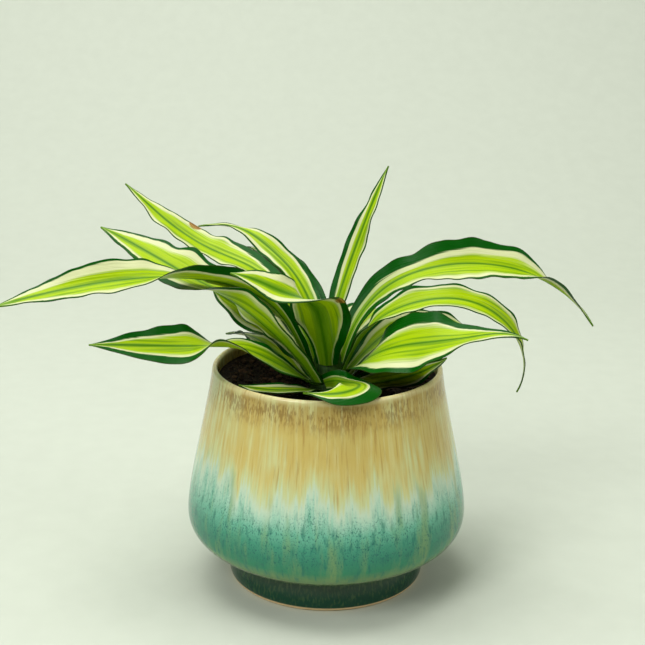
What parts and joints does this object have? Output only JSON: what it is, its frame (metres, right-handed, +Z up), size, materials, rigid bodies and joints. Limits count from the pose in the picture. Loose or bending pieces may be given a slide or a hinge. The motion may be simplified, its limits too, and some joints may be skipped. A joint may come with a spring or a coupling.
{
  "type": "potted dracaena",
  "caption": "Potted dracaena: a rosette of long, arching, striped leaves on a short stem, in soil in a glazed ceramic pot with a round belly on a short foot.",
  "frame": {"origin": "centre of the pot's flat underside, on the pot's axis", "axes": "+Z up along the pot's axis; +X to the right and -Y towards the viewer in the picture's front view"},
  "size_m": [0.3232, 0.1792, 0.2308],
  "materials": {
    "glaze": "glossy reactive glaze, tan over teal green",
    "soil": "loose and matte",
    "stem": "satin",
    "leaf": "waxy, striped lime, cream and dark green"
  },
  "bodies": {
    "root": {"pot": "glaze", "soil": "soil", "stem": "stem", "leaf_left_reaching": "leaf", "leaf_left_middle": "leaf", "leaf_left_rising": "leaf", "leaf_left_low": "leaf", "leaf_front_turned": "leaf", "leaf_back_left": "leaf", "leaf_upright": "leaf", "leaf_right_arching": "leaf", "leaf_right_hooked": "leaf", "leaf_right_broad": "leaf", "leaf_right_behind": "leaf", "leaf_right_low": "leaf", "leaf_front_curled": "leaf", "leaf_front_short": "leaf", "leaf_left_inner_upper": "leaf", "leaf_left_inner_middle": "leaf", "leaf_left_inner_lower": "leaf", "leaf_rear_right": "leaf", "leaf_rear_middle": "leaf", "leaf_rear_left": "leaf", "leaf_rear_low": "leaf", "leaf_young": "leaf"}
  },
  "joints": []
}
